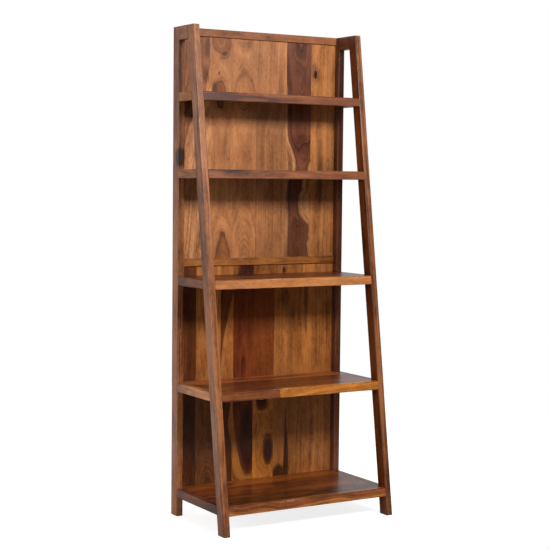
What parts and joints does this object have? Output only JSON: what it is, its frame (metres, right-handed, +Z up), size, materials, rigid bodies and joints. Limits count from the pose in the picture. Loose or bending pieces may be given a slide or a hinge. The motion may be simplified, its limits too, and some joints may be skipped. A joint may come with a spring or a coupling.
{
  "type": "ladder shelf",
  "caption": "Open ladder bookcase in solid wood: leaning front posts, upright rear posts, open sides, a boarded back and full-width shelves with front lips.",
  "frame": {"origin": "on the floor, at the centre of the bounding box", "axes": "+Z up, X across the shelves, front towards -Y; the rear posts' back faces lie in one plane towards +Y"},
  "size_m": [0.7, 0.3996, 1.75],
  "materials": {
    "tan": "semi-gloss lacquer over sheesham, tan tone",
    "honey": "semi-gloss lacquer over sheesham, honey tone",
    "chestnut": "semi-gloss lacquer over sheesham, chestnut tone",
    "umber": "semi-gloss lacquer over sheesham, umber tone",
    "walnut": "semi-gloss lacquer over sheesham, walnut tone",
    "amber": "semi-gloss lacquer over sheesham, amber tone"
  },
  "bodies": {
    "root": {"rear_post_left": "chestnut", "front_post_left": "honey", "shelf_1_side_rail_left": "chestnut", "shelf_2_side_rail_left": "amber", "shelf_3_side_rail_left": "umber", "shelf_4_side_rail_left": "chestnut", "shelf_5_side_rail_left": "chestnut", "top_side_rail_left": "chestnut", "rear_post_right": "chestnut", "front_post_right": "honey", "shelf_1_side_rail_right": "chestnut", "shelf_2_side_rail_right": "amber", "shelf_3_side_rail_right": "umber", "shelf_4_side_rail_right": "chestnut", "shelf_5_side_rail_right": "chestnut", "top_side_rail_right": "chestnut", "bottom_back_rail": "chestnut", "mid_back_rail": "chestnut", "top_back_rail": "chestnut", "lower_back_board_1": "walnut", "lower_back_board_2": "chestnut", "lower_back_board_3": "amber", "lower_back_board_4": "walnut", "lower_back_board_5": "chestnut", "lower_back_board_6": "honey", "lower_back_board_7": "chestnut", "upper_back_board_1": "chestnut", "upper_back_board_2": "tan", "upper_back_board_3": "honey", "upper_back_board_4": "tan", "upper_back_board_5": "umber", "upper_back_board_6": "amber", "shelf_1_lip": "honey", "shelf_1_board_1": "honey", "shelf_1_board_2": "chestnut", "shelf_1_board_3": "umber", "shelf_1_board_4": "chestnut", "shelf_2_lip": "honey", "shelf_2_board_1": "honey", "shelf_2_board_2": "chestnut", "shelf_2_board_3": "umber", "shelf_3_lip": "honey", "shelf_3_board_1": "honey", "shelf_3_board_2": "chestnut", "shelf_3_board_3": "umber", "shelf_4_lip": "honey", "shelf_4_board_1": "honey", "shelf_4_board_2": "chestnut", "shelf_5_lip": "honey", "shelf_5_board_1": "honey", "shelf_5_board_2": "chestnut"}
  },
  "joints": []
}
